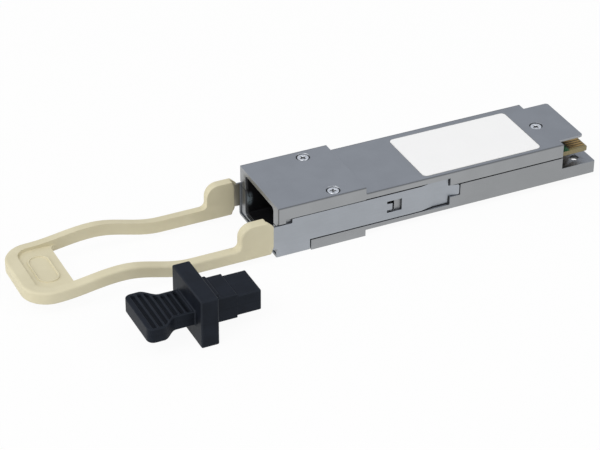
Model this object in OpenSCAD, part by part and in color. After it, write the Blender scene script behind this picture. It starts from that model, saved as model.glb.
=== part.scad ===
// Pluggable optical transceiver module with a finger-loop pull tab and a loose dust plug.
// Millimetres. +X is the way the module is pushed into its cage and +Z is the label side.
// Shapes are drawn from the front face at x = 0 and then moved, so that the origin lies on
// the seating face, below the plane where the cage's catches hold the module.

/* [Body] */
// Width across the two sides
body_w = 18.35; // [17.6:0.05:20]
// Height of the section inside the cage
cage_h = 8.5; // [8.2:0.1:9.6]
// Length from the front face to the rear lip
body_len = 72.4; // [69:0.1:80]
// Length of the head that stays in front of the cage
head_len = 19.2; // [17:0.1:22]
// Height of the head above the cage section
head_rise = 1.4; // [1:0.1:2.4]
// Depth of the head below the cage section
head_drop = 1.4; // [1.2:0.1:2.4]
// Thickness of the floor
floor_t = 0.9; // [0.7:0.05:1.2]
// Thickness of the roof
roof_t = 0.9; // [0.7:0.05:1.1]
// Thickness of the side walls beside the board
side_wall = 0.855; // [0.7:0.005:1.2]
// Height of the seam between the two shells
seam_z = 5.27; // [4.8:0.01:6]
// Open width of the seam
seam_gap = 0.2; // [0.05:0.01:0.3]

/* [Rear end] */
// Length of the lip behind the side walls
lip_len = 7.9; // [6.5:0.1:9]
// Height of the lip
lip_h = 2.75; // [2:0.05:3.2]
// Thickness of the plate over the hollow under the lip
lip_plate = 0.85; // [0.5:0.05:1.2]
// Wall round the hollow under the lip
lip_wall = 0.8; // [0.5:0.05:1.5]
// Corner radius of the lip
lip_r = 0.3; // [0.2:0.1:2]
// Reach of the lid's tongue behind the side walls
tongue_len = 5.7; // [3:0.1:6.5]
// Width of the lid's tongue
tongue_w = 14.6; // [10:0.1:16]
// Thickness of the lid's tongue
tongue_t = 0.5; // [0.35:0.05:0.9]
// Corner radius of the lid's tongue
tongue_r = 0.7; // [0.4:0.1:2.5]
// Radius of the locating holes in the lip
lip_hole_r = 0.9; // [0.5:0.05:1.2]
// Distance of the locating holes from the lip's end
lip_hole_back = 3.35; // [2:0.05:4.5]
// Distance between the locating holes
lip_hole_span = 12.6; // [8:0.1:14]

/* [Latch slider] */
// Distance from the front face to the plane of the cage's catches
catch_x = 38; // [36:0.1:42]
// Thickness of the steel
plate_t = 0.5; // [0.4:0.05:0.6]
// Lower edge of the side plates
plate_low = 1.17; // [0.9:0.01:1.5]
// Height of the side plates
plate_h = 5.8; // [5.2:0.05:6]
// Step down of the upper edge at the front
step_h = 0.95; // [0.5:0.05:1.5]
// Distance of that step from the front face
step_x = 3; // [2.9:0.05:5]
// Length of the deep part that bends under the head
deep_len = 6.9; // [5:0.1:9]
// Outer radius of the bend under the head
bend_r = 0.6; // [0.55:0.05:1.2]
// Length of the strips inside the tab's ears
strip_len = 6.5; // [4:0.1:6.8]
// Lower edge of those strips
strip_low = 0.8; // [0.4:0.05:1.5]
// Length of the tail that is set inwards
tail_len = 6.4; // [5:0.1:8]
// Distance that the tail is set inwards
tail_set = 0.6; // [0.3:0.05:0.7]
// Length of the joggle in front of the tail
joggle_len = 3; // [1.5:0.1:4]
// Length of the tongue on the tail
tail_tongue_len = 2.35; // [1.5:0.05:2.8]
// Height of the tongue on the tail
tail_tongue_h = 2.4; // [1.6:0.05:3]
// Distance that the tongue's tip is bent outwards again
tongue_flare = 0.45; // [0.1:0.05:0.5]
// Distance of the spring lug from the front face
lug_x = 25.1; // [24:0.1:26.5]
// Length of the spring lug
lug_len = 2.1; // [1.6:0.05:2.2]
// Height of the window that the lug is bent from
window_h = 2.6; // [2:0.05:2.8]
// Width of the relief slits beside the lug
slit_w = 0.55; // [0.15:0.01:0.6]
// Length of the relief slits beside the lug
slit_len = 1.2; // [0.6:0.05:1.6]
// Gap behind the spring lug in its pocket
lug_gap = 0.6; // [0.1:0.05:1]
// Travel of the slider when the tab is pulled
travel = 1.25; // [1:0.05:1.8]
// Play round the slider
slide_play = 0.06; // [0.04:0.01:0.12]
// Gap above and below the side plates
edge_gap = 0.2; // [0.06:0.01:0.25]
// Gap above the side plates inside the head
head_gap = 0.08; // [0.04:0.01:0.2]
// Gap round the slider's tail
tail_gap = 0.17; // [0.15:0.01:0.4]

/* [Return springs] */
// Length of a spring at rest
spring_len = 8; // [6:0.1:8.6]
// Outer diameter of a spring
spring_d = 1.5; // [1.2:0.05:1.7]
// Radius of the spring wire
wire_r = 0.13; // [0.1:0.01:0.16]
// Turns of a spring
spring_turns = 9; // [5:1:10]
// Play round a spring in its pocket
spring_play = 0.05; // [0.03:0.01:0.1]

/* [Pull tab] */
// Thickness of the moulding outside the steel strips
tab_skin = 0.22; // [0.15:0.01:0.6]
// Width of each arm
arm_w = 2; // [1.6:0.05:2.4]
// Height of the arms
arm_h = 2.58; // [2:0.02:3.2]
// Length from the front face to the end of the finger loop
tab_len = 51.5; // [46:0.1:60]
// Corner radius of the finger loop
loop_r = 5.5; // [3:0.1:8]
// Width of the loop's end bar
end_bar = 2.7; // [1.5:0.1:4]
// Length of the thumb panel
panel_len = 7.3; // [4:0.1:10]
// Depth of the thumb panel below the rim
panel_drop = 0.7; // [0.3:0.05:1.2]
// Fillet between the thumb panel and the arms
panel_fillet = 1.4; // [0.5:0.1:3]
// Length of the raised oval on the panel
oval_l = 9.6; // [6:0.1:12]
// Width of the raised oval on the panel
oval_w = 4.4; // [3:0.1:6]
// Height and rim width of the raised oval
oval_rim = 0.3; // [0.15:0.05:0.5]
// Distance from the front face to where the arms start to rise
rise_x = 18; // [14:0.1:22]
// Length of the rise
rise_len = 14.5; // [10:0.1:18]
// Height of the rise
rise_h = 2.6; // [0:0.1:4]
// Length of the fall towards the loop
fall_len = 13.5; // [8:0.1:16]
// Height of the fall towards the loop
fall_h = 1.3; // [0:0.1:2.5]
// Distance of the ears' outer side from the front face
ear_gap = 1.1; // [0.6:0.05:2]
// Distance of the ears' inner side from the front face
ear_inner_gap = 2; // [1.6:0.05:3]
// Distance from the front face to the front of the ears
ear_front = 8.05; // [7:0.05:10]
// Height of the ears
ear_h = 7.5; // [6.5:0.05:8.2]
// Corner radius of the ears
ear_r = 2.6; // [0.8:0.1:3.2]
// Height of the ears' chamfer beside the port
ear_chamfer = 1.15; // [0.6:0.05:1.6]
// Height of the ears' chamfer at the foot
ear_foot = 1.7; // [0.8:0.1:2.4]
// Fillet between the ears and the arms
ear_fillet = 1.1; // [0.4:0.1:2]

/* [Optical port] */
// Width of the port in the shells
port_w = 13.5; // [12.6:0.05:14]
// Height of the port in the shells
port_h = 9.25; // [8.4:0.05:9.6]
// Depth that a plug can enter
port_depth = 10.2; // [9.6:0.1:11]
// Corner radius of the port
port_r = 0.8; // [0.5:0.05:1.2]
// Wall of the receptacle's sleeve
sleeve_wall = 0.5; // [0.35:0.05:0.7]
// Setback of the receptacle from the front face
sleeve_back = 0.4; // [0.1:0.05:1]
// Length of the receptacle's neck behind the sleeve
neck_len = 4; // [3.4:0.1:4.6]
// Clear width between the receptacle's hooks
hook_gap = 8.4; // [8:0.05:9]
// Bite of the hooks
hook_bite = 0.55; // [0.3:0.05:0.7]
// Thickness of the hooks' arms
hook_t = 0.8; // [0.5:0.05:0.9]
// Height of the hooks
hook_h = 3.2; // [2:0.1:4]
// Length of the hooks' arms
hook_len = 5.6; // [4:0.1:6.4]
// Width of the keyway in the sleeve's roof
key_w = 3; // [2:0.1:5]
// Width of the conductive gasket round the neck
gasket_len = 1.6; // [1:0.1:2]
// Depth of the gasket's groove
gasket_t = 0.5; // [0.3:0.05:0.8]

/* [Optics] */
// Width of the ferrule
ferrule_w = 6.4; // [6:0.1:7]
// Height of the ferrule
ferrule_h = 2.5; // [2.2:0.05:2.8]
// Length of the ferrule
ferrule_len = 8; // [7:0.1:9]
// Height of the shoulder round the ferrule's rear
shoulder = 0.4; // [0.2:0.05:0.6]
// Radius of the guide pins
pin_r = 0.35; // [0.25:0.01:0.4]
// Distance between the guide pins
pin_span = 4.6; // [4:0.05:5]
// Reach of the guide pins in front of the ferrule
pin_reach = 2.2; // [1.5:0.1:2.6]
// Length of the pin keeper
keeper_len = 1.8; // [1.2:0.1:2.4]
// Width of the fibre ribbon
ribbon_w = 3.1; // [2:0.1:3.4]
// Thickness of the fibre ribbon
ribbon_t = 0.32; // [0.2:0.02:0.4]
// Length of the ribbon's bend
ribbon_run = 6.6; // [6:0.1:8]
// Length of the lens block
lens_len = 4.6; // [4:0.1:5.4]
// Width of the lens block
lens_w = 5; // [4:0.1:6]
// Height of the lens block
lens_h = 1.35; // [1.2:0.05:1.4]

/* [Circuit board] */
// Thickness of the board
card_t = 1; // [0.8:0.05:1.2]
// Height of the board's middle above the seating face
card_z = 5.6; // [5.2:0.05:5.65]
// Setback of the card edge from the lip's end
card_back = 1.4; // [1:0.05:2]
// Length of the chamfer on the card edge
card_chamfer = 0.35; // [0.2:0.05:0.6]
// Gap between the board and the walls
card_gap = 0.11; // [0.08:0.01:0.2]
// Gap between the guide pins' keeper and the board
board_gap = 5.3; // [4.6:0.1:5.6]
// Distance of the board's ledges from the rear end of the walls
ledge_back = 10; // [9:0.1:11]
// Length of the board's ledges
ledge_l = 3.6; // [2.5:0.1:4]
// Width of the board's ledges
ledge_w = 1.9; // [1.8:0.05:2.2]
// Radius of the pegs that locate the board
peg_r = 0.5; // [0.4:0.05:0.6]
// Gap between the board's shoulder and the controller chip
controller_gap = 6; // [4:0.1:7]
// Side of the controller chip
controller_l = 5; // [4:0.1:6]
// Height of the controller chip
controller_h = 0.85; // [0.6:0.05:1]
// Length of the laser driver and the receiver chip
die_l = 2.2; // [1.6:0.1:2.4]
// Width of the laser driver and the receiver chip
die_w = 2.4; // [1.8:0.1:2.6]
// Thickness of the pad on those chips
pad_t = 0.6; // [0.4:0.05:0.7]
// Chip parts in a row
chip_count = 5; // [2:1:5]
// Length of a chip part
chip_l = 1; // [0.6:0.05:1]
// Width of a chip part
chip_w = 0.5; // [0.3:0.05:0.6]
// Height of a chip part
chip_h = 0.45; // [0.3:0.05:0.6]
// Distance between the rows of chip parts
chip_row_gap = 1.3; // [0.8:0.05:1.4]
// Contacts on each face
finger_count = 19; // [9:1:19]
// Spacing of the contacts
finger_pitch = 0.8; // [0.6:0.02:0.84]
// Width of a contact
finger_w = 0.54; // [0.3:0.02:0.56]
// Length of a contact
finger_len = 3.4; // [2:0.1:4]
// Thickness of a contact
finger_t = 0.05; // [0.03:0.01:0.08]

/* [Label and screws] */
// Length of the label
label_len = 27.1; // [20:0.1:28]
// Width of the label
label_w = 15.7; // [10:0.1:17]
// Corner radius of the label
label_r = 1; // [0.5:0.1:2]
// Thickness of the label
label_t = 0.12; // [0.08:0.01:0.2]
// Depth of the label's recess
label_sink = 0.06; // [0.03:0.01:0.07]
// Sideways offset of the label
label_shift = -0.35; // [-0.5:0.05:0.5]
// Radius of the screw shanks
screw_r = 0.68; // [0.5:0.02:0.75]
// Radius of the screw heads
screw_head_r = 1.2; // [1.1:0.05:1.4]
// Height of the screw heads
screw_head_h = 0.75; // [0.5:0.05:0.9]
// Depth of the screw heads below the lid
screw_sink = 0.15; // [0.05:0.05:0.3]
// Distance of the front screws from the sides
screw_inset = 2.22; // [2.1:0.02:2.4]

/* [Dust plug] */
// Distance from the front face to the plug's flange
plug_ahead = 22.1; // [10:0.1:40]
// Distance from the module's middle to the plug's axis
plug_aside = 23.9; // [21:0.1:40]
// Width of the plug's flange
flange_w = 13.9; // [11:0.1:16]
// Height of the plug's flange
flange_h = 10.4; // [9:0.1:12]
// Thickness of the plug's flange
flange_t = 3.6; // [2:0.1:5]
// Length of the plug's collar
collar_len = 5.05; // [4:0.05:6]
// Length of the plug's nose
nose_len = 4.95; // [3:0.05:5]
// Height of the plug's nose
nose_h = 4.5; // [4:0.02:6]
// Step above and below the nose
nose_step = 0.45; // [0.2:0.05:0.8]
// Step at each side of the nose
nose_side = 0.1; // [0.05:0.05:0.5]
// Play of the collar between the hooks
plug_play = 0.35; // [0.1:0.05:0.5]
// Wall of the hollow nose
nose_wall = 0.65; // [0.4:0.05:0.65]
// Height of the key ridge on the collar
ridge_h = 0.8; // [0.4:0.05:1.2]
// Length of the key ridge on the collar
ridge_len = 1.6; // [0.8:0.1:2.4]
// Length of the plug's grip
grip_len = 10.2; // [8:0.1:14]
// Width of the grip's end
grip_w = 12.8; // [10:0.1:14]
// Width of the grip's waist
waist_w = 8.3; // [6:0.1:9]
// Thickness of the grip
grip_t = 3; // [2.4:0.1:4]
// Corner radius of the grip's end
grip_r = 1.4; // [1:0.1:3]
// Grooves in each face of the grip
groove_count = 7; // [3:1:7]
// Width of a groove
groove_w = 0.8; // [0.4:0.05:0.9]
// Depth of a groove
groove_d = 0.5; // [0.3:0.05:0.8]
// Border left beside the grooves
groove_border = 0.6; // [0.4:0.05:0.9]
// Border left between the grooves and the grip's end
groove_end = 1.1; // [0.6:0.05:1.6]

/* [Hidden] */
$fn = 48;
// Overlap of pieces that are joined into one
over = 0.02;
// Reach of a cut past what it cuts
past = 1;
// Play between pieces that are fixed together
fit = 0.02;
half_w = body_w / 2;
head_top = cage_h + head_rise;
side_end = body_len - lip_len;
// Overlap of the lip and the tongue with the shells
rear_root = 0.8;
roof_z = cage_h - roof_t;
port_z = cage_h / 2;
port_end = port_depth + 0.6;

// Screws: clearance in the lid, a tapped hole in the housing
screw_clear_r = screw_r + 0.12;
screw_tap_r = screw_r + fit;
screw_pit_r = screw_head_r + 0.2;
screw_wall = 0.4;
front_screw_x = port_end + 1.3 + screw_clear_r;
front_screw_y = half_w - screw_inset;
rear_screw_x = side_end - 1.3;
post_r = screw_pit_r + 0.1;
screw_end_z = floor_t + 0.6;
tap_end_z = floor_t + 0.3;

// Rooms inside the shells
neck_room_w = 2 * (front_screw_y - screw_clear_r - screw_wall);
tail_x = catch_x - tail_len;
mid_x = tail_x - travel - 0.6;
tail_wall = 2.3;
wide_x = catch_x + tail_tongue_len + tail_gap + tail_wall;
wide_room_w = body_w - 2 * side_wall;
plate_in = half_w - plate_t;
tail_pocket_y = plate_in - tail_set - slide_play;
mid_room_w = 2 * (tail_pocket_y - 0.85);

// Slider
plate_top = plate_low + plate_h;
plate_mid = plate_low + plate_h / 2;
front_top = plate_top - step_h;
deep_lead = 0.3;
recess_x = step_x - travel - 0.05;
tongue_top = seam_z - slide_play;
tongue_low = tongue_top - tail_tongue_h;
lug_h = window_h - 2 * slit_w;
lug_tip_y = plate_in - lug_len;
spring_y = plate_in - slide_play - spring_play - spring_d / 2;
spring_x = lug_x - plate_t - spring_len;

// Board and what stands on it
card_w = wide_room_w - 2 * card_gap;
card_low = card_z - card_t / 2;
card_top = card_z + card_t / 2;
card_end = body_len - card_back;
neck_end = port_end + neck_len;
groove_x = port_end + 0.6;
ferrule_x = port_depth + 0.2;
ferrule_end = ferrule_x + ferrule_len;
keeper_end = ferrule_end + keeper_len;
board_x = keeper_end + board_gap;
narrow_w = neck_room_w - 0.5;
ribbon_tail = 2.2;
lens_x = keeper_end + ribbon_run + ribbon_tail;
chip_x = lens_x + lens_len + 0.8;
ribbon_end_z = card_top + lens_h - 0.65;
die_h = 0.3;
die_y = die_w / 2 + 0.4;
array_x = lens_x + 0.54 * lens_len;
array_y = 1.1;
array_size = [0.4, 1.4, 0.2];
pad_w = 2 * die_y + die_w;
pedestal_z = card_top + die_h + pad_t;
pedestal_rim = 0.3;
controller_x = wide_x + controller_gap;
ledge_x = side_end - ledge_back;
ledge_in = card_w / 2 - ledge_w;
peg_play = 0.06;
peg_h = 0.7 * card_t;
peg_x = ledge_x + ledge_l / 2;
peg_y = card_w / 2 - ledge_w / 2 - 0.15;
chip_gap = 0.3;
chip_lead = 1.2;
rest_x = board_x + 0.4;
rest_w = 1.6;
saddle_gap = 0.1;

// Label, set back from the rear screw
label_gap = 2.1;
label_x1 = rear_screw_x - screw_pit_r - label_gap;
label_x0 = label_x1 - label_len;
label_play = 0.1;

// Pull tab
arm_out = half_w + tab_skin;
arm_in = arm_out - arm_w;
loop_x = -tab_len;
panel_x0 = loop_x + end_bar;
panel_x1 = panel_x0 + panel_len;
panel_low = tab_low(-(panel_x1 + panel_fillet));
panel_top = tab_low(tab_len) + arm_h - panel_drop;

// Dust plug, standing on the surface that the head rests on
plug_x = -plug_ahead;
plug_z = flange_h / 2 - head_drop;
collar_w = hook_gap - 2 * plug_play;
nose_w = collar_w - 2 * nose_side;
collar_h = nose_h + 2 * nose_step;
flare_d0 = 0.38 * grip_len;
flare_d1 = 0.7 * grip_len;

// Moves a shape drawn from the front face to the module's own origin
module from_front() {
    translate([-catch_x, 0, 0]) children();
}

module both_sides() {
    children();
    mirror([0, 1, 0]) children();
}

// A block between two corners, given as ranges along X, Y and Z
module span(x, y, z) {
    translate([x[0], y[0], z[0]]) cube([x[1] - x[0], y[1] - y[0], z[1] - z[0]]);
}

// A block of full width w, centred on the middle plane
module bar(x, w, z) {
    span(x, [-w / 2, w / 2], z);
}

module round_rect(w, h, r) {
    square([w - 2 * r, h], center = true);
    square([w, h - 2 * r], center = true);
    for (sx = [-1, 1], sy = [-1, 1]) {
        translate([sx * (w / 2 - r), sy * (h / 2 - r)]) circle(r);
    }
}

// Extrudes a profile drawn in Y and Z along X
module along_x(x0, x1) {
    translate([x0, 0, 0]) rotate([90, 0, 90]) linear_extrude(x1 - x0) children();
}

// Extrudes a profile drawn in X and Z from y0 to y1
module along_y(y0, y1) {
    translate([0, y1, 0]) rotate([90, 0, 0]) linear_extrude(y1 - y0) children();
}

// Plan of a plate whose rear corners are round
module rear_rounded(x0, x1, w, r) {
    translate([x0, -w / 2]) square([x1 - r - x0, w]);
    translate([x0, r - w / 2]) square([x1 - x0, w - 2 * r]);
    for (side = [-1, 1]) {
        translate([x1 - r, side * (w / 2 - r)]) circle(r);
    }
}

// Shells

module outer_body() {
    bar([0, head_len], body_w, [-head_drop, head_top]);
    bar([0, side_end], body_w, [0, cage_h]);
}

module inner_space() {
    translate([0, 0, port_z]) along_x(-past, port_end) round_rect(port_w, port_h, port_r);
    bar([port_end - over, mid_x], neck_room_w, [floor_t, roof_z]);
    bar([mid_x - over, wide_x], mid_room_w, [floor_t, roof_z]);
    bar([wide_x - over, body_len], wide_room_w, [floor_t, roof_z]);
}

// Everything that the slider, its lugs and its springs sweep
module latch_space() {
    deep_end = deep_len + edge_gap;
    side_y = [plate_in - slide_play, half_w + past];
    tail_y = [tail_pocket_y, half_w + past];
    side_z = [plate_low - edge_gap, plate_top + edge_gap];
    both_sides() {
        span([-past, recess_x], side_y, [plate_low, front_top + edge_gap]);
        span([recess_x - over, head_len], side_y, [plate_low - edge_gap, plate_top + head_gap]);
        span([head_len - over, catch_x + tail_gap], side_y, side_z);
        span([-past, deep_end], side_y, [-head_drop - past, plate_low + over]);
        span([mid_x, catch_x + tail_gap], tail_y, side_z);
        span([catch_x, catch_x + tail_tongue_len + tail_gap], tail_y,
             [tongue_low - slide_play, seam_z + over]);
        span([spring_x - slide_play, lug_x + lug_gap], [lug_tip_y - slide_play, half_w],
             [plate_mid - window_h / 2, plate_mid + window_h / 2]);
    }
    bar([-past, deep_end], body_w + 2 * past, [-head_drop - past, -head_drop + plate_t + slide_play]);
}

// Ledges that carry the board at the walls, from z[0] to z[1]
module board_ledges(z) {
    both_sides() span([ledge_x, ledge_x + ledge_l], [ledge_in, wide_room_w / 2 + over], z);
}

module bottom_housing() {
    color([0.57, 0.58, 0.59]) from_front() difference() {
        union() {
            difference() {
                intersection() {
                    outer_body();
                    bar([-past, body_len], body_w + 2 * past, [-head_drop - past, seam_z]);
                }
                inner_space();
            }
            linear_extrude(lip_h) rear_rounded(side_end - rear_root, body_len, body_w, lip_r);
            translate([rear_screw_x, 0, floor_t - over]) cylinder(r = post_r, h = card_low - floor_t + over);
            board_ledges([floor_t - over, card_low]);
            both_sides() translate([peg_x, peg_y, card_low - over]) cylinder(r = peg_r, h = peg_h + over);
            both_sides() span([rest_x, mid_x + over], [narrow_w / 2 - rest_w, neck_room_w / 2 + over],
                              [floor_t - over, card_low]);
            bar([neck_end + saddle_gap, ferrule_end - saddle_gap], ferrule_w,
                [floor_t - over, port_z - ferrule_h / 2 - shoulder]);
        }
        latch_space();
        both_sides() translate([front_screw_x, front_screw_y, tap_end_z])
            cylinder(r = screw_tap_r, h = seam_z);
        translate([rear_screw_x, 0, tap_end_z]) cylinder(r = screw_tap_r, h = seam_z);
        bar([side_end, body_len - lip_wall], body_w - 2 * lip_wall, [-past, lip_h - lip_plate]);
        both_sides() translate([body_len - lip_hole_back, lip_hole_span / 2, -past])
            cylinder(r = lip_hole_r, h = lip_h + 2 * past);
    }
}

module screw_pit(x, y, z, low) {
    translate([x, y, z - screw_head_h - screw_sink]) cylinder(r = screw_pit_r, h = cage_h);
    translate([x, y, low - past]) cylinder(r = screw_clear_r, h = cage_h);
}

module top_cover() {
    color([0.53, 0.55, 0.58]) from_front() difference() {
        union() {
            difference() {
                intersection() {
                    outer_body();
                    bar([-past, body_len], body_w + 2 * past, [seam_z + seam_gap, head_top + past]);
                }
                inner_space();
            }
            translate([0, 0, cage_h - tongue_t]) linear_extrude(tongue_t)
                rear_rounded(side_end - rear_root, side_end + tongue_len, tongue_w, tongue_r);
            both_sides() translate([front_screw_x, front_screw_y, seam_z])
                cylinder(r = screw_clear_r + screw_wall - over, h = seam_gap + over);
            translate([rear_screw_x, 0, card_top]) cylinder(r = post_r, h = roof_z - card_top + over);
            board_ledges([card_top + fit, roof_z + over]);
            bar([chip_x - pedestal_rim, chip_x + die_l + pedestal_rim], pad_w + pedestal_rim,
                [pedestal_z, roof_z + over]);
            bar([neck_end + saddle_gap, ferrule_end - saddle_gap], ferrule_w,
                [port_z + ferrule_h / 2 + shoulder + fit, roof_z + over]);
        }
        latch_space();
        both_sides() screw_pit(front_screw_x, front_screw_y, head_top, seam_z);
        screw_pit(rear_screw_x, 0, cage_h, card_top);
        translate([(label_x0 + label_x1) / 2, label_shift, cage_h - label_sink]) linear_extrude(1)
            round_rect(label_len + 2 * label_play, label_w + 2 * label_play, label_r);
    }
}

// A cross-recess screw whose head lies below the lid's face at height z
module cover_screw(x, y, z) {
    head_z = z - screw_sink - screw_head_h;
    slot_l = 1.25 * screw_head_r;
    slot_w = 0.34 * screw_head_r;
    slot_d = 0.8 * screw_head_h;
    cross_turn = 20;
    translate([x, y, 0]) difference() {
        union() {
            translate([0, 0, head_z]) cylinder(r = screw_head_r, h = screw_head_h);
            translate([0, 0, screw_end_z]) cylinder(r = screw_r, h = head_z - screw_end_z + over);
        }
        for (turn = [0, 90]) {
            rotate(turn + cross_turn) translate([-slot_l / 2, -slot_w / 2, head_z + screw_head_h - slot_d])
                cube([slot_l, slot_w, slot_d + over]);
        }
    }
}

module cover_screws() {
    color([0.8, 0.8, 0.82]) from_front() {
        both_sides() cover_screw(front_screw_x, front_screw_y, head_top);
        cover_screw(rear_screw_x, 0, cage_h);
    }
}

module label() {
    color([0.95, 0.95, 0.95]) from_front()
        translate([(label_x0 + label_x1) / 2, label_shift, cage_h - label_sink])
        linear_extrude(label_t) round_rect(label_len, label_w, label_r);
}

// Latch slider and its springs

// Side view of a plate with the window and its relief slits
module plate_side() {
    tip_r = 0.4;
    difference() {
        union() {
            translate([-strip_len, strip_low]) square([strip_len + step_x, front_top - strip_low]);
            translate([-deep_lead, -head_drop]) square([deep_len + deep_lead, front_top + head_drop]);
            translate([step_x, plate_low]) square([catch_x - step_x, plate_h]);
            translate([0, (tongue_low + tongue_top) / 2])
                rear_rounded(catch_x - 1, catch_x + tail_tongue_len, tail_tongue_h, tip_r);
        }
        translate([lug_x, plate_mid - window_h / 2]) square([lug_len, window_h]);
        for (z = [plate_mid - window_h / 2, plate_mid + window_h / 2 - slit_w]) {
            translate([lug_x - slit_len, z]) square([slit_len + over, slit_w]);
        }
    }
}

// Plan of a plate: straight, then set inwards along its tail, with the tongue bent outwards
module plate_plan() {
    end_x = catch_x + tail_tongue_len;
    set_x = tail_x + joggle_len;
    tip_set = tail_set - tongue_flare;
    polygon([
        [-strip_len, half_w], [tail_x, half_w], [set_x, half_w - tail_set], [catch_x, half_w - tail_set],
        [end_x, half_w - tip_set], [end_x, plate_in - tip_set], [catch_x, plate_in - tail_set],
        [set_x, plate_in - tail_set], [tail_x, plate_in], [-strip_len, plate_in]
    ]);
}

module latch_slider() {
    color([0.62, 0.64, 0.67]) from_front() intersection() {
        union() {
            both_sides() intersection() {
                along_y(0, half_w) plate_side();
                translate([0, 0, -head_drop]) linear_extrude(head_top + head_drop) plate_plan();
            }
            both_sides() span([lug_x - plate_t, lug_x], [lug_tip_y, plate_in + over],
                              [plate_mid - lug_h / 2, plate_mid + lug_h / 2]);
            bar([-deep_lead, deep_len], body_w, [-head_drop, -head_drop + plate_t]);
        }
        translate([0, 0, head_top / 2]) along_x(-strip_len, catch_x + tail_tongue_len)
            round_rect(body_w, head_top + 2 * head_drop, bend_r);
    }
}

// Middle line of a spring, along X
spring_mid_r = spring_d / 2 - wire_r;
spring_steps = 8 * spring_turns;
spring_run = spring_len - 2 * wire_r;
wire_sides = 6;
function spring_point(i) =
    let (a = 360 * i / 8)
    [wire_r + spring_run * i / spring_steps, spring_mid_r * cos(a), spring_mid_r * sin(a)];
// Ring of wire round a point, square to the helix
function spring_ring(i) =
    let (
        a = 360 * i / 8,
        lead = spring_run / (spring_turns * 360 * spring_mid_r * PI / 180),
        out = [0, cos(a), sin(a)],
        side = [1, lead * sin(a), -lead * cos(a)] / sqrt(1 + lead * lead)
    )
    [for (k = [0:wire_sides - 1])
        spring_point(i) + wire_r * (cos(360 * k / wire_sides) * out + sin(360 * k / wire_sides) * side)];

// The least gap between turns, measured on the middle line
spring_gap = min([for (i = [0:spring_steps - 5], j = [i + 5:min(i + 20, spring_steps)])
    norm(spring_point(i) - spring_point(j))]) - 2 * wire_r;
echo(least_gap_between_spring_turns = spring_gap);

module return_spring() {
    last = spring_steps * wire_sides;
    points = [for (i = [0:spring_steps], p = spring_ring(i)) p];
    walls = [for (i = [0:spring_steps - 1], k = [0:wire_sides - 1])
        let (a = i * wire_sides + k, b = i * wire_sides + (k + 1) % wire_sides)
        each [[a, b + wire_sides, b], [a, a + wire_sides, b + wire_sides]]];
    caps = [for (k = [1:wire_sides - 2]) each [[0, k, k + 1], [last, last + k + 1, last + k]]];
    polyhedron(points = points, faces = concat(walls, caps));
}

module return_spring_left() {
    color([0.7, 0.7, 0.72]) from_front()
        translate([spring_x, spring_y, plate_mid]) return_spring();
}

module return_spring_right() {
    color([0.7, 0.7, 0.72]) from_front()
        translate([spring_x, -spring_y, plate_mid]) return_spring();
}

// Pull tab

// Height of the tab's underside at a distance d in front of the front face
function blend(t) = (1 - cos(180 * max(0, min(1, t)))) / 2;
function tab_low(d) =
    rise_h * blend((d - rise_x) / rise_len) - fall_h * blend((d - rise_x - rise_len) / fall_len);

// Side view of the tab's strip, from the ears to the loop
module tab_side() {
    stations = 44;
    far = tab_len + 1;
    ds = concat([0], [for (i = [0:stations]) rise_x + (far - rise_x) * i / stations]);
    low = [for (d = ds) [-d, tab_low(d)]];
    high = [for (i = [len(ds) - 1:-1:0]) [-ds[i], tab_low(ds[i]) + arm_h]];
    polygon(concat(low, high));
}

// Plan of the loop: a bar with two round corners, grown outwards by its half width w
module loop_plan(x, w, r) {
    mirror([1, 0]) rear_rounded(0, -x, 2 * w, r);
}

module panel_plan() {
    difference() {
        translate([panel_x0 - 1, -arm_in - over])
            square([panel_len + panel_fillet + 1, 2 * (arm_in + over)]);
        translate([panel_x1, panel_fillet - arm_in]) square([panel_len, 2 * (arm_in - panel_fillet)]);
        for (side = [-1, 1]) {
            translate([panel_x1 + panel_fillet, side * (arm_in - panel_fillet)]) circle(panel_fillet);
        }
    }
}

module oval_plan(w, l) {
    square([w, l - w], center = true);
    for (side = [-1, 1]) {
        translate([0, side * (l - w) / 2]) circle(w / 2);
    }
}

// Part of the tab's strip whose plan is given
module tab_strip() {
    reach = arm_h + rise_h + fall_h + past;
    intersection() {
        along_y(-arm_out - 1, arm_out + 1) tab_side();
        translate([0, 0, -reach]) linear_extrude(2 * reach) children();
    }
}

// Side view of an ear, with its fillet onto the arm
module ear_side() {
    front = -ear_front;
    difference() {
        union() {
            translate([front, 0]) square([ear_front, ear_h - ear_r]);
            translate([front + ear_r, 0]) square([ear_front - ear_r, ear_h]);
            translate([front + ear_r, ear_h - ear_r]) circle(ear_r);
            translate([front - ear_fillet, arm_h - over]) square([ear_fillet + over, ear_fillet + over]);
        }
        translate([front - ear_fillet, arm_h + ear_fillet]) circle(ear_fillet);
    }
}

// Side view of the cut behind an ear, which leaves a chamfer above and below
module ear_back(gap, chamfer_run) {
    foot_run = 0.35 * ear_foot;
    polygon([
        [-gap - chamfer_run, ear_h + over], [-gap, ear_h - ear_chamfer], [-gap, ear_foot],
        [-gap - foot_run, -over], [past, -over], [past, ear_h + over]
    ]);
}

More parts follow.
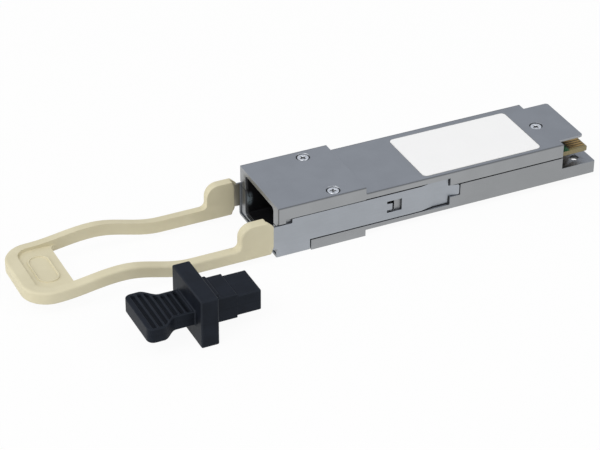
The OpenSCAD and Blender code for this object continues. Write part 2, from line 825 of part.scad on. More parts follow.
module pull_tab() {
    oval_x = (panel_x0 + panel_x1) / 2 - 0.2;
    color([0.86, 0.83, 0.71]) from_front() difference() {
        union() {
            tab_strip() difference() {
                loop_plan(loop_x, arm_out, loop_r);
                loop_plan(panel_x0, arm_in, loop_r - end_bar);
            }
            translate([0, 0, panel_low]) linear_extrude(panel_top - panel_low) panel_plan();
            translate([oval_x, 0, panel_top - over]) linear_extrude(oval_rim + over) difference() {
                oval_plan(oval_w, oval_l);
                oval_plan(oval_w - 2 * oval_rim, oval_l - 2 * oval_rim);
            }
            both_sides() along_y(arm_in, arm_out) ear_side();
        }
        both_sides() span([-strip_len, 0], [plate_in, half_w], [strip_low, front_top]);
        both_sides() along_y(plate_in, arm_out + past) ear_back(ear_gap, 1.1 * ear_chamfer);
        both_sides() along_y(arm_in - past, plate_in + over) ear_back(ear_inner_gap, 0.4 * ear_chamfer);
    }
}

// Optical port

module hook() {
    in_y = hook_gap / 2 + hook_bite;
    out_y = in_y + hook_t;
    root_x = port_depth + over;
    tip_x = port_depth - hook_len;
    nib = [tip_x + 0.7, tip_x + 1, tip_x + 1.4];
    translate([0, 0, port_z - hook_h / 2]) linear_extrude(hook_h) polygon([
        [root_x, in_y], [nib[2], in_y], [nib[1], in_y - hook_bite], [nib[0], in_y - hook_bite],
        [tip_x, in_y + hook_t / 4], [tip_x, out_y], [root_x, out_y]
    ]);
}

module receptacle() {
    out_w = port_w - 2 * fit;
    out_h = port_h - 2 * fit;
    room_h = roof_z - floor_t;
    neck_w = neck_room_w - 2 * fit;
    neck_h = room_h - 2 * fit;
    color([0.1, 0.1, 0.11]) from_front() difference() {
        union() {
            translate([0, 0, port_z]) along_x(sleeve_back, port_end - fit) round_rect(out_w, out_h, port_r);
            translate([0, 0, port_z]) along_x(port_end - 1, neck_end) square([neck_w, neck_h], center = true);
        }
        difference() {
            translate([0, 0, port_z]) along_x(0, port_depth)
                round_rect(out_w - 2 * sleeve_wall, out_h - 2 * sleeve_wall, port_r / 2);
            both_sides() hook();
        }
        translate([0, 0, port_z + out_h / 2 - sleeve_wall]) along_x(0, port_depth - 2)
            square([key_w, sleeve_wall], center = true);
        translate([0, 0, port_z]) along_x(0, neck_end + 1)
            square([ferrule_w + 4 * fit, ferrule_h + 4 * fit], center = true);
        translate([0, 0, port_z]) along_x(groove_x, groove_x + gasket_len) difference() {
            square([neck_room_w + 1, room_h + 1], center = true);
            square([neck_w - 2 * gasket_t, neck_h - 2 * gasket_t], center = true);
        }
    }
}

module emi_gasket() {
    room_h = roof_z - floor_t;
    neck_w = neck_room_w - 2 * fit - 2 * gasket_t;
    neck_h = room_h - 2 * fit - 2 * gasket_t;
    color([0.35, 0.35, 0.36]) from_front()
        translate([0, 0, port_z]) along_x(groove_x + fit, groove_x + gasket_len - fit) difference() {
            square([neck_room_w - 2 * fit, room_h - 2 * fit], center = true);
            square([neck_w + 2 * fit, neck_h + 2 * fit], center = true);
        }
}

// Two bores for the guide pins through whatever lies between x0 and x1
module pin_bores(x0, x1) {
    both_sides() translate([x0, pin_span / 2, port_z]) rotate([0, 90, 0]) cylinder(r = pin_r + fit, h = x1 - x0);
}

module ferrule() {
    color([0.16, 0.15, 0.15]) from_front() difference() {
        union() {
            translate([0, 0, port_z]) along_x(ferrule_x, ferrule_end) square([ferrule_w, ferrule_h], center = true);
            translate([0, 0, port_z]) along_x(neck_end + fit, ferrule_end)
                square([ferrule_w + 2 * shoulder, ferrule_h + 2 * shoulder], center = true);
        }
        pin_bores(ferrule_x - 1, ferrule_end + 1);
    }
}

module guide_pins() {
    color([0.8, 0.8, 0.82]) from_front() both_sides()
        translate([ferrule_x - pin_reach, pin_span / 2, port_z]) rotate([0, 90, 0])
        cylinder(r = pin_r, h = keeper_end - 0.2 - ferrule_x + pin_reach);
}

module pin_keeper() {
    color([0.45, 0.45, 0.46]) from_front() difference() {
        translate([0, 0, port_z]) along_x(ferrule_end, keeper_end)
            square([ferrule_w + shoulder, ferrule_h], center = true);
        pin_bores(ferrule_end - 1, keeper_end + 1);
        translate([0, 0, port_z]) along_x(ferrule_end - 1, keeper_end + 1)
            square([ribbon_w + 4 * fit, ribbon_t + 4 * fit], center = true);
    }
}

module fibre_ribbon() {
    steps = 24;
    rise = ribbon_end_z - port_z;
    xs = concat([ferrule_end], [for (i = [0:steps]) keeper_end + ribbon_run * i / steps], [lens_x]);
    mid = [for (x = xs) [x, port_z + rise * blend((x - keeper_end) / ribbon_run)]];
    color([0.35, 0.65, 0.75]) from_front() along_y(-ribbon_w / 2, ribbon_w / 2) polygon(concat(
        [for (p = mid) p - [0, ribbon_t / 2]],
        [for (i = [len(mid) - 1:-1:0]) mid[i] + [0, ribbon_t / 2]]
    ));
}

// Optical engine and electronics on the board

module lens_block() {
    foot = 1.3;
    bay = 0.45;
    notch = 0.6;
    x0 = lens_x;
    x1 = lens_x + lens_len;
    mid = x0 + 0.6 * lens_len;
    color([0.75, 0.66, 0.42]) from_front() along_y(-lens_w / 2, lens_w / 2) polygon([
        [x0, card_top], [x0 + foot, card_top], [x0 + foot, card_top + bay], [x1, card_top + bay],
        [x1, card_top + lens_h], [mid + notch, card_top + lens_h], [mid, card_top + lens_h - notch],
        [mid - notch, card_top + lens_h], [x0, card_top + lens_h]
    ]);
}

// A die that stands on the board, with its front at x and its middle at y
module die(x, y, size) {
    span([x, x + size[0]], [y - size[1] / 2, y + size[1] / 2], [card_top, card_top + size[2]]);
}

module laser_array() {
    color([0.3, 0.28, 0.35]) from_front() die(array_x, -array_y, array_size);
}

module detector_array() {
    color([0.28, 0.32, 0.36]) from_front() die(array_x, array_y, array_size);
}

module laser_driver() {
    color([0.25, 0.26, 0.3]) from_front() die(chip_x, -die_y, [die_l, die_w, die_h]);
}

module receiver_chip() {
    color([0.25, 0.27, 0.3]) from_front() die(chip_x, die_y, [die_l, die_w, die_h]);
}

module controller_chip() {
    color([0.12, 0.12, 0.13]) from_front() die(controller_x, 0, [controller_l, controller_l, controller_h]);
}

module chip_parts() {
    pitch = 2.2 * chip_l;
    row_2 = ledge_in - chip_gap - chip_w;
    row_1 = row_2 - chip_row_gap - chip_w;
    color([0.7, 0.6, 0.5]) from_front() both_sides() for (y = [row_1, row_2], i = [0:chip_count - 1]) {
        x = wide_x + chip_lead + pitch * i;
        span([x, x + chip_l], [y, y + chip_w], [card_top, card_top + chip_h]);
        span([x, x + chip_l], [y, y + chip_w], [card_low - chip_h, card_low]);
    }
}

module thermal_pads() {
    margin = 0.3;
    color([0.6, 0.65, 0.75]) from_front() {
        bar([chip_x, chip_x + die_l], pad_w, [card_top + die_h, pedestal_z]);
        bar([controller_x + margin, controller_x + controller_l - margin], controller_l - 2 * margin,
            [card_top + controller_h, roof_z]);
    }
}

module circuit_board() {
    corner_r = 0.6;
    chamfer_h = 0.2 * card_t;
    color([0.1, 0.32, 0.16]) from_front() difference() {
        translate([0, 0, card_low]) linear_extrude(card_t) {
            translate([board_x, -narrow_w / 2]) square([wide_x + 1 - board_x, narrow_w]);
            rear_rounded(wide_x + 0.4, card_end, card_w, corner_r);
        }
        translate([rear_screw_x, 0, 0]) cylinder(r = screw_clear_r + 0.1, h = cage_h);
        both_sides() translate([peg_x, peg_y, 0]) cylinder(r = peg_r + peg_play, h = cage_h);
        for (side = [-1, 1]) {
            translate([card_end, 0, card_z + side * card_t / 2]) along_y(-half_w, half_w) polygon([
                [-card_chamfer, 0], [past, -side * chamfer_h * (1 + past / card_chamfer)], [past, side * past],
                [-card_chamfer, side * past]
            ]);
        }
    }
}

module gold_fingers() {
    end_gap = 0.1;
    x1 = card_end - card_chamfer - end_gap;
    color([0.83, 0.66, 0.3]) from_front() for (i = [0:finger_count - 1]) {
        y = (i - (finger_count - 1) / 2) * finger_pitch;
        for (z = [card_low - finger_t, card_top]) {
            span([x1 - finger_len, x1], [y - finger_w / 2, y + finger_w / 2], [z, z + finger_t]);
        }
    }
}

// Dust plug

// Half of the grip's width at a distance d from the flange: a waist that flares to a wide end
function grip_half(d) =
    (waist_w + (grip_w - waist_w) * blend((d - flare_d0) / (flare_d1 - flare_d0))) / 2;

module grip_plan() {
    steps = 20;
    straight = grip_len - grip_r;
    side = concat(
        [[over, waist_w / 2]],
        [for (i = [0:steps]) let (d = straight * i / steps) [-d, grip_half(d)]],
        [for (a = [75:-15:0]) [-straight, grip_w / 2 - grip_r] + grip_r * [-cos(a), sin(a)]]
    );
    polygon(concat(side, [for (i = [len(side) - 1:-1:0]) [side[i][0], -side[i][1]]]));
}

// Plan of a groove that starts at a distance d from the flange and stops inside the outline
module groove_plan(d) {
    near = grip_half(d) - groove_border;
    far = grip_half(d + groove_w) - groove_border;
    polygon([[-d, -near], [-d, near], [-d - groove_w, far], [-d - groove_w, -far]]);
}

module grip() {
    pitch = (grip_len - groove_end - groove_border - groove_w) / (groove_count - 1);
    difference() {
        translate([0, 0, -grip_t / 2]) linear_extrude(grip_t) grip_plan();
        for (i = [0:groove_count - 1], z = [-grip_t / 2 - past, grip_t / 2 - groove_d]) {
            translate([0, 0, z]) linear_extrude(groove_d + past) groove_plan(groove_border + pitch * i);
        }
    }
}

module dust_plug() {
    collar_x = collar_len;
    nose_x = collar_len + nose_len;
    ridge_inset = 0.5;
    hollow_x = 1.5;
    color([0.12, 0.13, 0.15]) from_front() translate([plug_x, -plug_aside, plug_z]) difference() {
        union() {
            bar([-flange_t, 0], flange_w, [-flange_h / 2, flange_h / 2]);
            bar([-over, collar_x], collar_w, [-collar_h / 2, collar_h / 2]);
            bar([collar_x - over, nose_x], nose_w, [-nose_h / 2, nose_h / 2]);
            bar([-over, ridge_len], collar_w - 2 * ridge_inset, [0, collar_h / 2 + ridge_h]);
            translate([-flange_t, 0, 0]) grip();
        }
        along_x(hollow_x, nose_x + past) square([nose_w - 2 * nose_wall, nose_h - 2 * nose_wall], center = true);
    }
}

bottom_housing();
top_cover();
cover_screws();
label();
latch_slider();
pull_tab();
return_spring_left();
return_spring_right();
receptacle();
emi_gasket();
ferrule();
guide_pins();
pin_keeper();
fibre_ribbon();
lens_block();
laser_array();
detector_array();
laser_driver();
receiver_chip();
controller_chip();
chip_parts();
thermal_pads();
circuit_board();
gold_fingers();
dust_plug();
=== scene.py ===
# %% [markdown]
# # A pluggable optical module and its dust plug
# The module slides into a cage on a network switch. Its case is two plated castings, a sheet-steel
# slider runs along both sides, a beige tab pulls that slider, and a circuit board sticks out at the
# rear. The solids come from the CAD model in metres and stay where they are. This script gives
# them soft edges and finishes, sets up a pale studio, and places the photograph's camera.

# %% Load the solids
import itertools
import math

import bmesh
import bpy
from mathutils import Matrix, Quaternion, Vector


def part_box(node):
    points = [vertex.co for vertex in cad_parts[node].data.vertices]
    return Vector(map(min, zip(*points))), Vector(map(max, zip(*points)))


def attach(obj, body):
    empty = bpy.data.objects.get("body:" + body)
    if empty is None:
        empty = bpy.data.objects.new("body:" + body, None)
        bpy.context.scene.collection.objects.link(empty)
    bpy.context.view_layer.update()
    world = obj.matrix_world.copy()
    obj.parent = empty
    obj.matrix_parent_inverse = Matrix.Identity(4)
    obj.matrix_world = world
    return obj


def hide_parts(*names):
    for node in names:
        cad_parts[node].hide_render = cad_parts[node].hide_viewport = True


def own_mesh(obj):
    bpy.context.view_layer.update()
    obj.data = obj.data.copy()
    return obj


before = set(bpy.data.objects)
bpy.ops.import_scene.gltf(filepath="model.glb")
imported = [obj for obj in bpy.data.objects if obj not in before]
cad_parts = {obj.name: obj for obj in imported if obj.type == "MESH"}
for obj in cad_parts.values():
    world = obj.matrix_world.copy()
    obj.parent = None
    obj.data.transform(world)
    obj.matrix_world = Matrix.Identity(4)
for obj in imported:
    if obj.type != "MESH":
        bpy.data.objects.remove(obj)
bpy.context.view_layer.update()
MM = 0.001

# %% [markdown]
# The camera comes first, because every later choice is judged through it. Its place, aim, roll and
# focal length were solved from the case's known sizes: it looks down at about 33 degrees through a
# long lens. Such a solution gives the focal length in pixels, so it is turned into millimetres.

# %% Camera
SENSOR_WIDTH = 36.0
PHOTO_WIDTH_PX, FOCAL_LENGTH_PX = 600.0, 2265.15
eye = Vector((-0.194499, -0.346452, 0.245024))
forward = Vector((0.362814, 0.759382, -0.540097))
roll = math.radians(0.355)
camera_data = bpy.data.cameras.new("photo_camera")
camera_data.sensor_width = SENSOR_WIDTH
camera_data.lens = SENSOR_WIDTH * FOCAL_LENGTH_PX / PHOTO_WIDTH_PX
camera_data.clip_end = 20.0
camera = bpy.data.objects.new("photo_camera", camera_data)
bpy.context.scene.collection.objects.link(camera)
camera.location = eye
camera.rotation_mode = "QUATERNION"
camera.rotation_quaternion = forward.to_track_quat("-Z", "Y") @ Quaternion((0, 0, 1), roll)
bpy.context.scene.camera = camera
print("lens:", round(camera_data.lens, 1), "mm")

# %% [markdown]
# Shader maths reads best as arithmetic. A `Wire` is one output socket of a material: adding,
# multiplying or comparing wires lays down the Math nodes. Every other kind of node comes from one
# method, which takes the node's type, its settings and what goes into its sockets.

# %% Arithmetic for shader sockets
class Wire:
    """An output socket of a node tree that Python's operators act on."""

    def __init__(self, tree, socket):
        self.tree = tree
        self.socket = socket

    def node(self, kind, settings=None, sockets=None, out=0):
        """A wire from one output of a new node."""
        made = self.tree.nodes.new(kind)
        for key, value in (settings or {}).items():
            setattr(made, key, value)
        for key, value in (sockets or {}).items():
            if isinstance(value, Wire):
                self.tree.links.new(value.socket, made.inputs[key])
            else:
                made.inputs[key].default_value = value
        return Wire(self.tree, made.outputs[out])

    def math(self, operation, *values):
        return self.node("ShaderNodeMath", {"operation": operation}, dict(enumerate(values)))

    def __add__(self, other):
        return self.math("ADD", self, other)

    def __radd__(self, other):
        return self.math("ADD", other, self)

    def __sub__(self, other):
        return self.math("SUBTRACT", self, other)

    def __rsub__(self, other):
        return self.math("SUBTRACT", other, self)

    def __mul__(self, other):
        return self.math("MULTIPLY", self, other)

    def __rmul__(self, other):
        return self.math("MULTIPLY", other, self)

    def __truediv__(self, other):
        return self.math("DIVIDE", self, other)

    def __abs__(self):
        return self.math("ABSOLUTE", self)

    def most(self, other):
        """The larger of two values."""
        return self.math("MAXIMUM", self, other)

    def least(self, other):
        """The smaller of two values."""
        return self.math("MINIMUM", self, other)

    def wave(self, period):
        """A smooth wave from 0 to 1 that repeats after a distance."""
        return self.math("SINE", self * (2 * math.pi / period)) * 0.5 + 0.5

    def within(self, period):
        """The distance since the last whole period."""
        return self.math("FRACT", self / period) * period

    def ease(self, low, high):
        """0 below low, 1 above high and a smooth step between."""
        return self.node("ShaderNodeMapRange", {"interpolation_type": "SMOOTHSTEP"},
                         {"Value": self, "From Min": low, "From Max": high})

    def past(self, limit, blur=0.1 * MM):
        """0 up to a limit and 1 from a little beyond it."""
        return self.ease(limit, limit + blur)

    def blend(self, low, high):
        """From one colour to another, with this value as the share."""
        # A Mix node has sockets for several kinds of value. The colours are 6, 7 and output 2.
        return self.node("ShaderNodeMix", {"data_type": "RGBA"}, {0: self, 6: low, 7: high}, out=2)

    def far_from(self, other):
        """The distance of a point from an axis, where this and the other are its two offsets."""
        return self.math("SQRT", self * self + other * other)

    def axis(self, name):
        """One coordinate of a vector."""
        return self.node("ShaderNodeSeparateXYZ", None, {0: self}, out=name)

    def noise(self, size, detail=2.0, stretch=(1, 1, 1)):
        """Cloudy variation from 0 to 1 whose lumps have a size, drawn out along an axis."""
        shrink = [1 / s for s in stretch]
        place = self.node("ShaderNodeMapping", None, {"Vector": self, "Scale": shrink})
        return self.node("ShaderNodeTexNoise", None,
                         {"Vector": place, "Scale": 1 / size, "Detail": detail})

    def into(self, shader, name):
        self.tree.links.new(self.socket, shader.inputs[name])

    def bump(self, shader, height):
        """Raises the surface by up to a height, in metres, where this value is 1."""
        raised = self.node("ShaderNodeBump", None, {"Height": self, "Distance": height})
        raised.into(shader, "Normal")


print("shader arithmetic ready")

# %% [markdown]
# Every finish starts from the Principled BSDF shader. What is the same all over a piece is set on
# the shader's sockets, and what changes over its surface is wired into them. Object coordinates
# are metres and stay with the piece, so a pattern that follows them has its real size.

# %% Start a finish
def grey(level, tint=(1, 1, 1)):
    return tuple(level * t for t in tint) + (1.0,)


def start_finish(name, **fixed):
    """A new material, its shader with the constant values set, and a wire of object coordinates."""
    material = bpy.data.materials.new(name)
    material.use_nodes = True
    tree = material.node_tree
    shader = tree.nodes["Principled BSDF"]
    for key, value in fixed.items():
        shader.inputs[key.replace("_", " ")].default_value = value
    place = Wire(tree, tree.nodes.new("ShaderNodeTexCoord").outputs["Object"])
    return material, shader, place


def facing_of(place):
    """The direction that the surface faces, in object coordinates."""
    return place.node("ShaderNodeTexCoord", out="Normal")


print("finishes can start")

# %% [markdown]
# A catalogue picture is taken on a white table in even light, and upright metal mirrors that table.
# The floor is therefore plain white to the camera and to reflections, while the light that it sends
# to the object stays at an ordinary level. A Mix Shader does that, with a Light Path node to tell
# the kinds of ray apart. The floor keeps a little of its shadow, or the module would seem to float.

# %% Floor
FLOOR_SIZE = 3.0
WHITE_SHARE = 0.94
scene = bpy.context.scene
scene.view_settings.view_transform = "Standard"
table_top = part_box("latch_slider")[0].z

bpy.ops.object.select_all(action="DESELECT")
bpy.ops.mesh.primitive_plane_add(size=FLOOR_SIZE, location=(0, 0, table_top))
floor = bpy.context.object
floor.name = "floor"


def seen_directly(wire):
    """1 for the camera's own rays and for mirrored or refracted ones, 0 for the rest."""
    path = wire.node("ShaderNodeLightPath").socket.node
    kinds = ("Is Camera Ray", "Is Glossy Ray", "Is Transmission Ray")
    from_camera, mirrored, refracted = (Wire(wire.tree, path.outputs[kind]) for kind in kinds)
    return (from_camera + mirrored + refracted).least(1.0)


floor_finish, shader, place = start_finish("white_floor", Roughness=0.9, Specular_IOR_Level=0.0)
place.noise(0.2).blend(grey(0.86), grey(0.9)).into(shader, "Base Color")
lit = Wire(floor_finish.node_tree, shader.outputs[0])
glow = place.node("ShaderNodeEmission", None, {"Color": grey(1.0), "Strength": 1.0})
share = seen_directly(place) * WHITE_SHARE
seen_floor = place.node("ShaderNodeMixShader", None, {0: share, 1: lit, 2: glow})
seen_floor.into(floor_finish.node_tree.nodes["Material Output"], "Surface")
floor.data.materials.append(floor_finish)
print("floor at", round(table_top / MM, 2), "mm")

# %% [markdown]
# Flat metal mirrors the room above the table, which is a little darker and bluer. The world has
# that colour where it is seen or mirrored, and is a plain grey where it only sends light. Three
# softboxes do the rest. They are large area lamps, because small ones would throw hard shadows.

# %% Room and softboxes
ROOM_LIGHT, ROOM_SEEN = grey(0.55), (0.668, 0.704, 0.785, 1)
sky = bpy.data.worlds.new("white_tent")
sky.use_nodes = True
scene.world = sky
sky_light = sky.node_tree.nodes["Background"]
sky_seen = seen_directly(Wire(sky.node_tree, sky_light.outputs[0]))
sky_seen.blend(ROOM_LIGHT, ROOM_SEEN).into(sky_light, "Color")


def softbox(name, place, size, power):
    """A square lamp at a place, aimed at the middle of the module."""
    lamp_data = bpy.data.lights.new(name, "AREA")
    lamp_data.size = size
    lamp_data.energy = power
    lamp = bpy.data.objects.new(name, lamp_data)
    scene.collection.objects.link(lamp)
    lamp.location = place
    lamp.rotation_mode = "QUATERNION"
    lamp.rotation_quaternion = (-Vector(place)).to_track_quat("-Z", "Y")
    print(name, power, "W")


softbox("key_softbox", (-0.75, -0.35, 1.0), size=0.7, power=6.0)
softbox("fill_softbox", (0.8, -0.7, 0.9), size=0.7, power=2.5)
softbox("low_softbox", (-1.1, 0.1, 0.3), size=0.6, power=2.6)

# %% [markdown]
# No made thing has perfectly sharp edges: a casting has small radii, sheared steel is deburred, and
# a moulding is softer still. The CAD solids are sharp, so all but the two springs get a copy whose
# edges are rounded. A Bevel modifier could give all the edges one radius, but a radius that is
# wider than a narrow face would fold over itself. Each edge therefore gets a weight that depends on
# the room beside it. A ray across the face finds that room, and goes on over nearly flat joints.

# %% Measure the room beside an edge
NEARLY_FLAT = 0.02
MOST_HOPS = 12


def room_beside(face, edge, point, inward, beyond=1e-8, hops=0):
    """How far a face goes on from a point on its edge before it meets a real corner."""
    along = inward.cross(face.normal)
    nearest, stop = math.inf, None
    for other in face.edges:
        if other is edge:
            continue
        a, b = (v.co - point for v in other.verts)
        a_side, b_side = a.dot(along), b.dot(along)
        if (a_side > 0) == (b_side > 0):
            continue
        reach = a.dot(inward) + (b - a).dot(inward) * a_side / (a_side - b_side)
        if beyond < reach < nearest:
            nearest, stop = reach, other
    may_go_on = stop and hops < MOST_HOPS and len(stop.link_faces) == 2
    if may_go_on and stop.calc_face_angle(0) < NEARLY_FLAT:
        beside = [f for f in stop.link_faces if f is not face]
        if beside:
            return room_beside(beside[0], stop, point, inward, nearest, hops + 1)
    return nearest


# %% [markdown]
# A curved outline is many short edges in a mesh. With a weight of its own for each, its rounding
# would swell and shrink along the way, so the edges of one smooth line share the smallest weight
# among them. A long edge is tested at more points, because what lies beside it changes.

# %% Weigh the edges of a solid
SHARP_TURN = math.radians(28)
SAME_LINE = math.cos(math.radians(25))
LONG_EDGE, FEW_TESTS, MANY_TESTS = 12, 3, 15
ROOM_SHARE = 0.4


def even_out(shape, weights):
    """Gives all the edges of one smooth line the smallest share among them."""
    shape.edges.index_update()
    sharp = [edge for edge in shape.edges if edge[weights] > 0]
    line_of = {edge.index: edge.index for edge in sharp}

    def first(index):
        while line_of[index] != index:
            index = line_of[index]
        return index

    for vert in shape.verts:
        ends = [edge for edge in vert.link_edges if edge[weights] > 0]
        for a, b in itertools.combinations(ends, 2):
            coming = (vert.co - a.other_vert(vert).co).normalized()
            going = (b.other_vert(vert).co - vert.co).normalized()
            if coming.dot(going) > SAME_LINE:
                line_of[first(a.index)] = first(b.index)
    smallest = {}
    for edge in sharp:
        line = first(edge.index)
        smallest[line] = min(smallest.get(line, 1.0), edge[weights])
    for edge in sharp:
        edge[weights] = smallest[first(edge.index)]


def weigh_edges(mesh, width, share_of):
    """Writes each sharp edge's share of the full radius, and returns how many edges are sharp."""
    shape = bmesh.new()
    shape.from_mesh(mesh)
    weights = shape.edges.layers.float.new("bevel_weight_edge")
    shares = {}
    for edge in shape.edges:
        if len(edge.link_faces) != 2 or edge.calc_face_angle(0) < SHARP_TURN:
            continue
        start, end = (v.co for v in edge.verts)
        tests = FEW_TESTS if edge.calc_length() < LONG_EDGE * width else MANY_TESTS
        points = [start.lerp(end, (i + 0.5) / tests) for i in range(tests)]
        room = math.inf
        for loop in edge.link_loops:
            direction = loop.link_loop_next.vert.co - loop.vert.co
            inward = loop.face.normal.cross(direction).normalized()
            for point in points:
                room = min(room, room_beside(loop.face, edge, point, inward))
        shares[edge] = share_of(edge)
        edge[weights] = min(1.0, ROOM_SHARE * room / (width * shares[edge]))
    even_out(shape, weights)
    for edge, share in shares.items():
        edge[weights] *= share
    shape.to_mesh(mesh)
    shape.free()
    return len(shares)


print("edges sharper than", round(math.degrees(SHARP_TURN)), "degrees will be rounded")

# %% [markdown]
# Every solid is then dressed in the same way. A CAD mesh is loose triangles, so the copy's
# triangles are merged back into whole faces before the Bevel modifier rounds the weighted edges.
# That modifier can give the faces it makes a second material. Here the second material only marks
# them: the mark is kept as an attribute, so that a finish can tell rounded edges from the rest.

# %% Dress a solid
MERGE_WITHIN = 0.001 * MM
FLAT_WITHIN, SMOOTH_WITHIN = math.radians(0.5), math.radians(35)


def apply_modifier(piece, name, kind, **settings):
    made = piece.modifiers.new(name, kind)
    for key, value in settings.items():
        setattr(made, key, value)
    bpy.ops.object.modifier_apply(modifier=made.name)


def merged_copy(node, finish):
    """A copy of a CAD node in whole faces, with its finish in two material slots."""
    bpy.ops.object.select_all(action="DESELECT")
    piece = bpy.data.objects.new(node + "_finished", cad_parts[node].data.copy())
    scene.collection.objects.link(piece)
    bpy.context.view_layer.objects.active = piece
    piece.select_set(True)
    mesh = piece.data
    mesh.materials.clear()
    for _ in range(2):
        mesh.materials.append(finish)
    bpy.ops.mesh.customdata_custom_splitnormals_clear()
    bpy.ops.object.mode_set(mode="EDIT")
    bpy.ops.mesh.select_all(action="SELECT")
    bpy.ops.mesh.remove_doubles(threshold=MERGE_WITHIN)
    bpy.ops.mesh.dissolve_limited(angle_limit=FLAT_WITHIN)
    bpy.ops.object.mode_set(mode="OBJECT")
    for face in mesh.polygons:
        face.material_index = 0
    return piece


def soften(piece, width, segments):
    """Rounds the weighted edges and marks the round faces with 1 in the attribute rim."""
    apply_modifier(piece, "soft_edges", "BEVEL", width=width, segments=segments,
                   limit_method="WEIGHT", use_clamp_overlap=False, loop_slide=False, material=1)
    apply_modifier(piece, "cut_up_large_faces", "TRIANGULATE", min_vertices=5, ngon_method="CLIP")
    bpy.ops.object.shade_smooth_by_angle(angle=SMOOTH_WITHIN)
    apply_modifier(piece, "even_shading", "WEIGHTED_NORMAL", keep_sharp=True)
    mesh = piece.data
    rim = mesh.attributes.new("rim", "FLOAT", "FACE")
    rim.data.foreach_set("value", [float(face.material_index) for face in mesh.polygons])
    for face in mesh.polygons:
        face.material_index = 0
    mesh.materials.pop(index=1)


def dress(node, finish, width, segments=2, body="module", share_of=lambda edge: 1.0):
    """Makes a copy of a CAD node with soft edges and a finish, which stands for that node."""
    piece = merged_copy(node, finish)
    sharp = weigh_edges(piece.data, width, share_of)
    soften(piece, width, segments)
    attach(piece, body)
    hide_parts(node)
    print(piece.name, sharp, "sharp edges,", len(piece.data.polygons), "faces")


def rim_of(place):
    """1 on the rounded edges that dress() makes, 0 elsewhere."""
    return place.node("ShaderNodeAttribute", {"attribute_name": "rim"}, out="Fac")


print("dressing ready for", len(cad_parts), "nodes")

# %% [markdown]
# The case is two castings with a satin nickel plating. The plating smooths the casting's skin
# into very soft hills and the blasted surface under it leaves a fine grain: both are noise, at two
# sizes. The hills vary the colour, and the two together vary the roughness and the bump. Painted
# shade darkens the colour along the long upper edges and the upright front ones, inside the lip's
# two holes, and in the nook under the board. A painted falloff of the light also darkens it a
# little towards the rear end.

# %% Plated castings
HALF_W = 9.175 * MM
HEAD_TOP, HEAD_END = 9.9 * MM, -18.8 * MM
LID_TOP = 8.5 * MM
FRONT_X = -38 * MM
EDGE_SHADE_ACROSS, EDGE_SHADE_DOWN, EDGE_SHADE_BACK = 0.4 * MM, 0.35 * MM, 0.3 * MM
LIP_HOLE_X, LIP_HOLE_Y, LIP_HOLE_R, LIP_TOP = 31.05 * MM, 6.3 * MM, 0.9 * MM, 3.2 * MM
REAR_WALL_X, NOOK_END_X = 26.7 * MM, 31 * MM
FALLOFF_START_X, FALLOFF_END_X = -20 * MM, 20 * MM
HOUSING_TONE, COVER_TONE = (0.329, 0.338, 0.346), (0.345, 0.354, 0.362)


def plated_casting(name, tone, rear_shade):
    """Satin plating of a tone, with a painted falloff of the light that darkens it towards the rear
    by a share of its variation.
    """
    material, shader, place = start_finish(name, Metallic=1.0)
    hills = place.noise(5 * MM, 3)
    grain = place.noise(0.16 * MM, 2)
    along, across, up = place.axis("X"), abs(place.axis("Y")), place.axis("Z")
    raised = up + along.past(HEAD_END) * (HEAD_TOP - LID_TOP)
    # Painted shade along the long upper edges and the upright front ones.
    upper = raised.ease(HEAD_TOP - EDGE_SHADE_DOWN, HEAD_TOP)
    front = 1 - along.past(FRONT_X, EDGE_SHADE_BACK)
    edge_shade = across.ease(HALF_W - EDGE_SHADE_ACROSS, HALF_W) * upper.most(front)
    in_lip = 1 - up.past(LIP_TOP)
    # Painted shade inside the lip's two holes.
    off_hole = (along - LIP_HOLE_X).far_from(across - LIP_HOLE_Y)
    hole_shade = (1 - off_hole.past(LIP_HOLE_R, 0.05 * MM)) * in_lip
    # Painted shadow on the lip's top in the nook under the board, fading away from the wall.
    upward = facing_of(place).axis("Z").ease(0.5, 0.9)
    behind_wall = along.ease(REAR_WALL_X - MM, REAR_WALL_X)
    nook_shade = upward * in_lip * behind_wall * (1 - along.ease(REAR_WALL_X, NOOK_END_X))
    # The hills vary the colour, and a painted falloff of the light darkens it towards the rear.
    hills_less_falloff = 0.35 + 0.3 * hills.ease(0.3, 0.7) - rear_shade * along.ease(FALLOFF_START_X, FALLOFF_END_X)
    plain = hills_less_falloff.blend(grey(0.9, tone), grey(1.1, tone))
    # All the painted shade together darkens the plain colour.
    dark = (edge_shade * 0.8).most(hole_shade).most(nook_shade)
    dark.blend(plain, grey(0.3, tone)).into(shader, "Base Color")
    (0.34 + 0.1 * hills + 0.06 * grain).into(shader, "Roughness")
    (grain * 0.35 + hills).bump(shader, 0.006 * MM)
    return material


housing_finish = plated_casting("plated_housing", HOUSING_TONE, rear_shade=0.5)
cover_finish = plated_casting("plated_cover", COVER_TONE, rear_shade=0.3)
dress("bottom_housing", housing_finish, 0.08 * MM)

# %% [markdown]
# The cover's screws sit in pits whose mouths have wider radii than its other edges, and these catch
# the light. One Bevel modifier can make both, because the weights scale its width: the edges round
# a mouth take all of it, where there is room, and the others a third.

# %% Cover with its screw pits
HEAD_R, PIT_R = 1.2 * MM, 1.4 * MM
MOUTH_SHARE, PLAIN_SHARE = 1.0, 0.33
low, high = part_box("cover_screws")
front_screw_x, rear_screw_x = low.x + HEAD_R, high.x - HEAD_R
screw_axes = [(front_screw_x, low.y + HEAD_R), (front_screw_x, high.y - HEAD_R),
              (rear_screw_x, 0.0)]


def middle_of(edge):
    return (edge.verts[0].co + edge.verts[1].co) / 2


